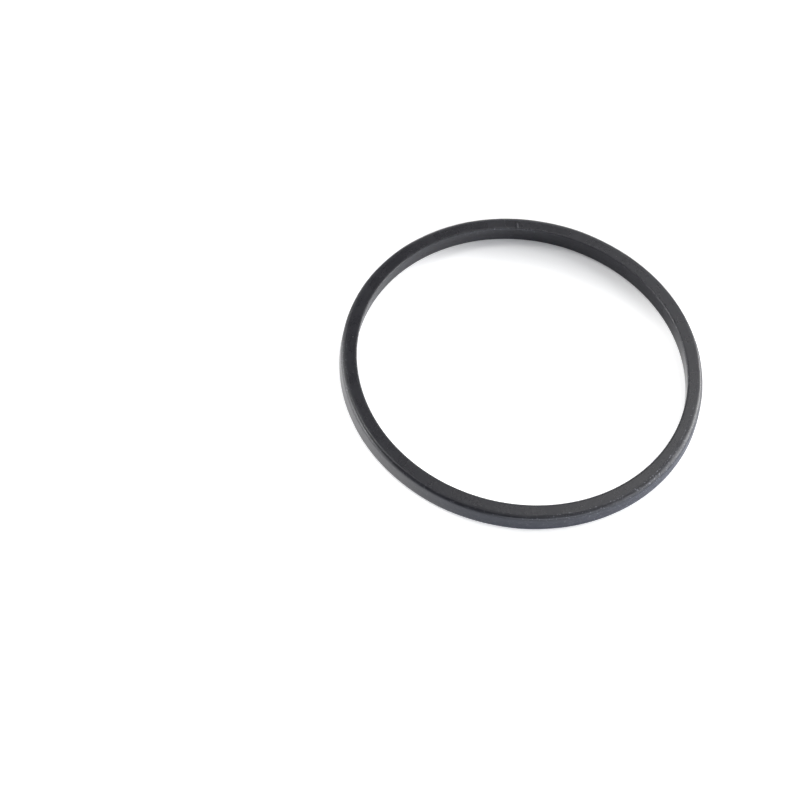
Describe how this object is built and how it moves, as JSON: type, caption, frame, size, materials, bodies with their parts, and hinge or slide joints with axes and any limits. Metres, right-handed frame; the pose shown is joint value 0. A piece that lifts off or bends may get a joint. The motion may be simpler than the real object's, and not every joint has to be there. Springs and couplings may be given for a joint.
{
  "type": "bearing seal",
  "caption": "Thin one-piece rubber ring of upright section with well rounded outer edges, which seals round the outside of a ball bearing.",
  "frame": {"origin": "centre of the ring on its lower face, so the ring lies flat on Z = 0", "axes": "+Z along the ring's axis, up through the bore; the ring is the same all round, so X and Y are free"},
  "size_m": [0.05, 0.05, 0.0027],
  "materials": {
    "seal_rubber": "satin black moulded rubber with a fine grain"
  },
  "bodies": {
    "root": {"seal_ring": "seal_rubber"}
  },
  "joints": []
}
